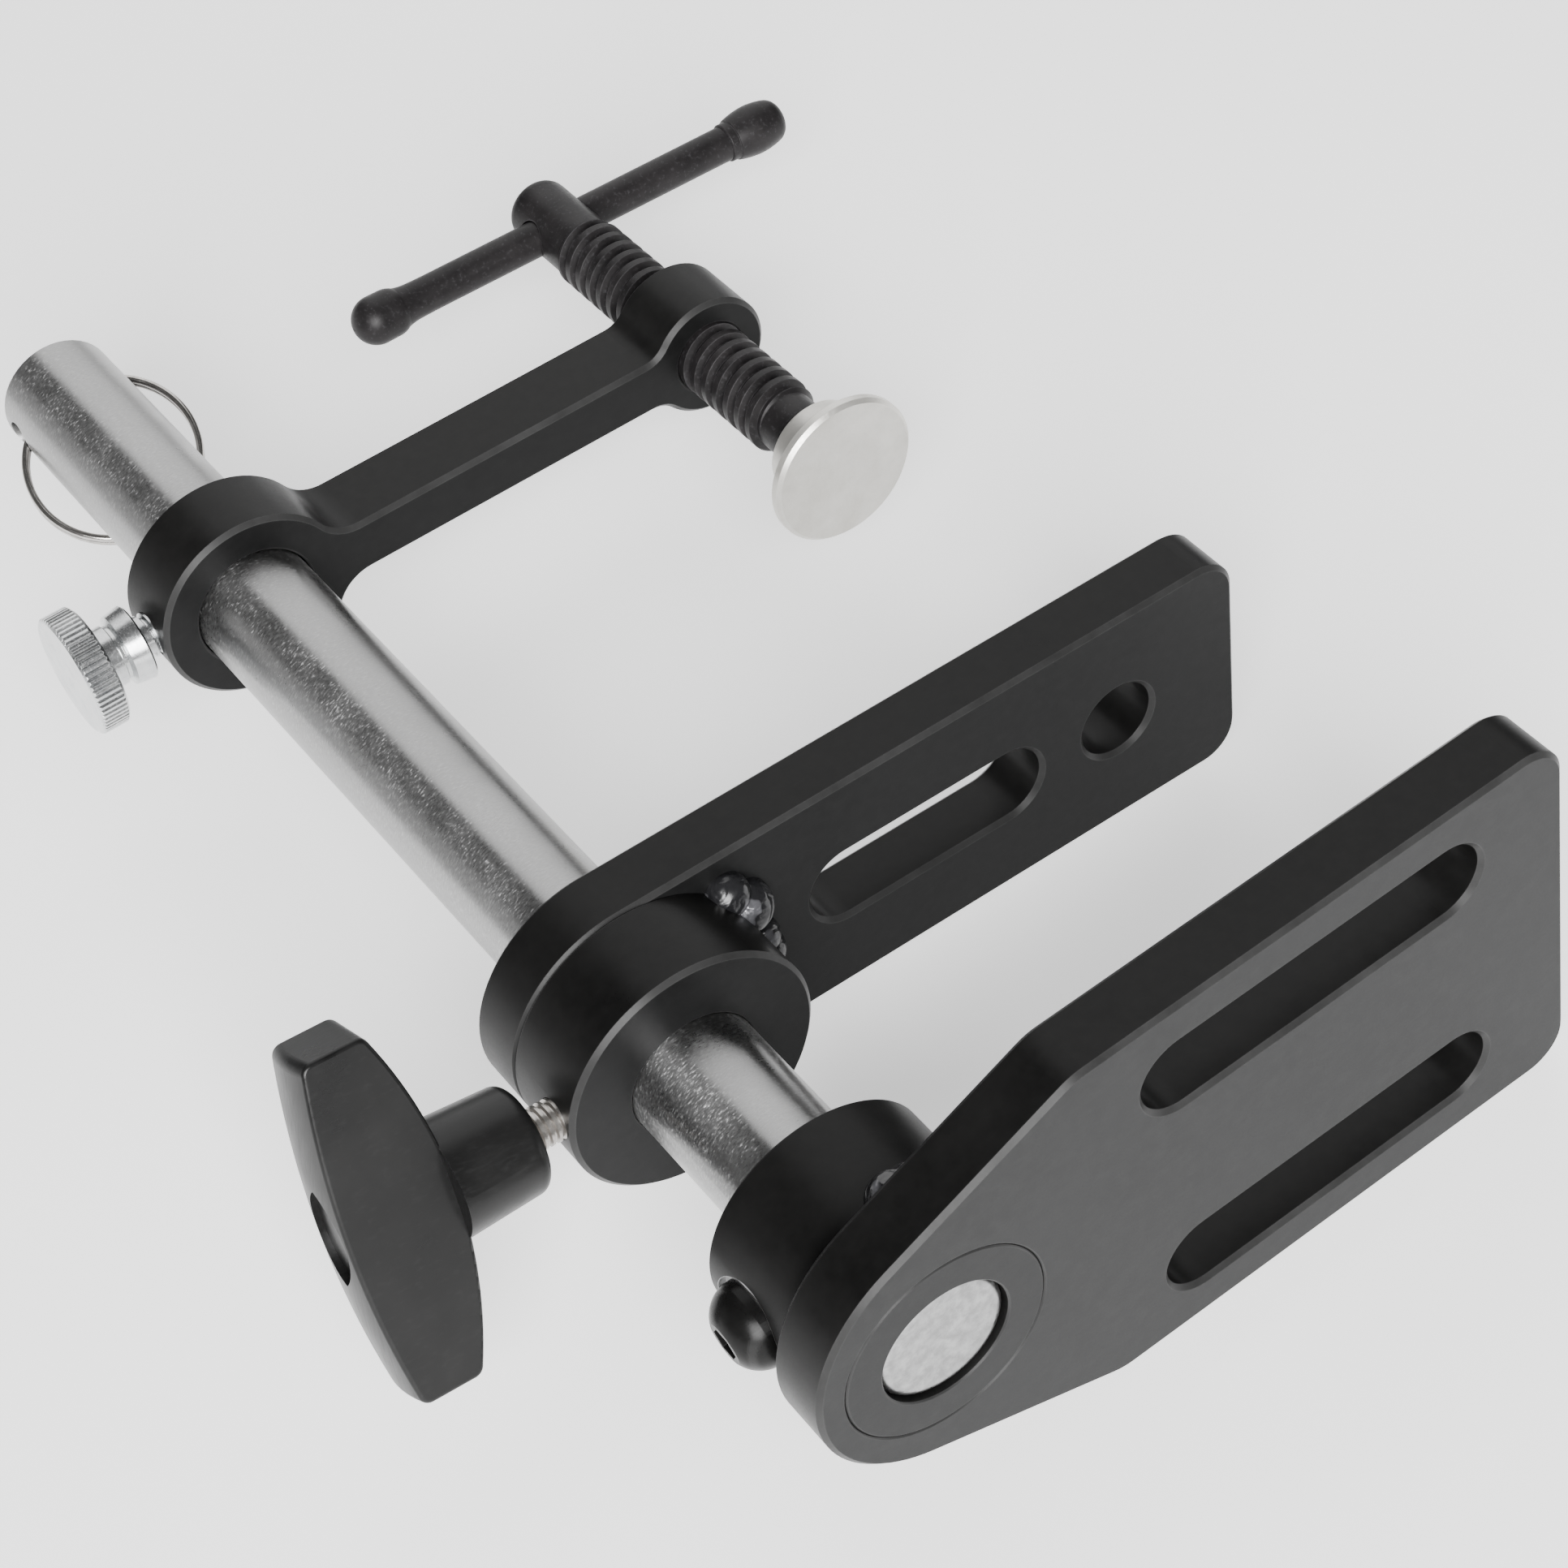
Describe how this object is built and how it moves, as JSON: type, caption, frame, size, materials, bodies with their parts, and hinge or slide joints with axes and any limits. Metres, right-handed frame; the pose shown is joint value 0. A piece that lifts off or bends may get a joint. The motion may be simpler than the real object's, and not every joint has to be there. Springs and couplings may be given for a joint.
{
  "type": "super clamp",
  "caption": "Sliding bar clamp: a round steel rod with a slotted fixed jaw plate, a sliding jaw plate locked by a T-knob, and a sliding screw arm with a swivel pressing pad.",
  "frame": {"origin": "centre of the rod's end face inside the end jaw", "axes": "+X along the rod, out through the end jaw; +Y the way the jaws reach out from the rod; +Z across the jaws' width, up as the clamp lies on its side"},
  "size_m": [0.317, 0.2405, 0.0855],
  "materials": {
    "rod_steel": "brushed bare steel with fine round scratches",
    "black_jaw": "satin black oxide with worn lighter edges",
    "black_arm": "satin black oxide",
    "black_screw": "black oxide, slightly glossy",
    "weld": "scuffed weld metal under thin black",
    "zinc": "bright zinc plate",
    "nylon": "natural nylon",
    "black_plastic": "satin moulded black plastic",
    "spindle_black": "oily brown-black oxide",
    "pad_nickel": "matte nickel plate",
    "ring_steel": "drawn stainless wire"
  },
  "bodies": {
    "rod_and_end_jaw": {"rod": "rod_steel", "end_jaw_plate": "black_jaw", "end_jaw_collar": "black_jaw", "end_jaw_screw": "black_screw", "end_jaw_weld": "weld"},
    "middle_jaw": {"middle_jaw_plate": "black_jaw", "middle_jaw_collar": "black_jaw", "middle_jaw_weld_upper": "weld", "middle_jaw_weld_lower": "weld"},
    "knob_tip": {"knob_tip": "nylon"},
    "t_knob": {"knob_stud": "zinc", "knob_grip": "black_plastic"},
    "screw_arm": {"screw_arm": "black_arm"},
    "thumb_tip": {"thumb_screw_tip": "nylon"},
    "thumb_screw": {"thumb_screw": "zinc"},
    "pad_ring": {"pad_snap_ring": "ring_steel"},
    "spindle": {"clamp_spindle": "spindle_black"},
    "tommy_bar": {"tommy_bar": "spindle_black", "tommy_bar_cap": "spindle_black"},
    "swivel_pad": {"swivel_pad": "pad_nickel"},
    "split_ring": {"split_ring": "ring_steel"}
  },
  "joints": [
    {"name": "middle_jaw_slide", "type": "slide", "parent": "rod_and_end_jaw", "child": "middle_jaw", "axis": [1, 0, 0], "range_m": [-0.075, 0.035]},
    {"name": "knob_travel", "type": "slide", "parent": "middle_jaw", "child": "knob_tip", "axis": [0, -0.9877, 0.1564], "range_m": [0, 0.008]},
    {"name": "knob_turn", "type": "hinge", "parent": "knob_tip", "child": "t_knob", "pos_m": [-0.0776, 0, 0], "axis": [0, -0.9877, 0.1564], "range_deg": [0, 2040]},
    {"name": "arm_slide", "type": "slide", "parent": "rod_and_end_jaw", "child": "screw_arm", "axis": [1, 0, 0], "range_m": [-0.022, 0.075]},
    {"name": "thumb_travel", "type": "slide", "parent": "screw_arm", "child": "thumb_tip", "axis": [0, -0.9985, 0.0541], "range_m": [0, 0.004]},
    {"name": "thumb_turn", "type": "hinge", "parent": "thumb_tip", "child": "thumb_screw", "pos_m": [-0.2354, 0, 0], "axis": [0, -0.9985, 0.0541], "range_deg": [0, 906]},
    {"name": "spindle_travel", "type": "slide", "parent": "screw_arm", "child": "pad_ring", "axis": [1, 0, 0], "range_m": [-0.034, 0.028]},
    {"name": "spindle_turn", "type": "hinge", "parent": "pad_ring", "child": "spindle", "pos_m": [-0.186, 0.11034, -0.00598], "axis": [1, 0, 0], "range_deg": [-3060, 2520]},
    {"name": "tommy_bar_slide", "type": "slide", "parent": "spindle", "child": "tommy_bar", "axis": [0, 0.9972, -0.075], "range_m": [-0.035, 0.028]},
    {"name": "pad_tilt", "type": "hinge", "parent": "pad_ring", "child": "swivel_pad", "pos_m": [-0.186, 0.11034, -0.00598], "axis": [0, 0.9972, -0.075], "range_deg": [-3.5, 3.5]},
    {"name": "split_ring_swing", "type": "hinge", "parent": "rod_and_end_jaw", "child": "split_ring", "pos_m": [-0.3097, 0, 0], "axis": [0, 0.9957, 0.0924], "range_deg": [0, 309]}
  ],
  "couplings": [
    {"joint": "knob_travel", "follows": "knob_turn", "m_per_rad": 0.00022457},
    {"joint": "thumb_travel", "follows": "thumb_turn", "m_per_rad": 0.00025274},
    {"joint": "spindle_travel", "follows": "spindle_turn", "m_per_rad": 0.00063662}
  ]
}
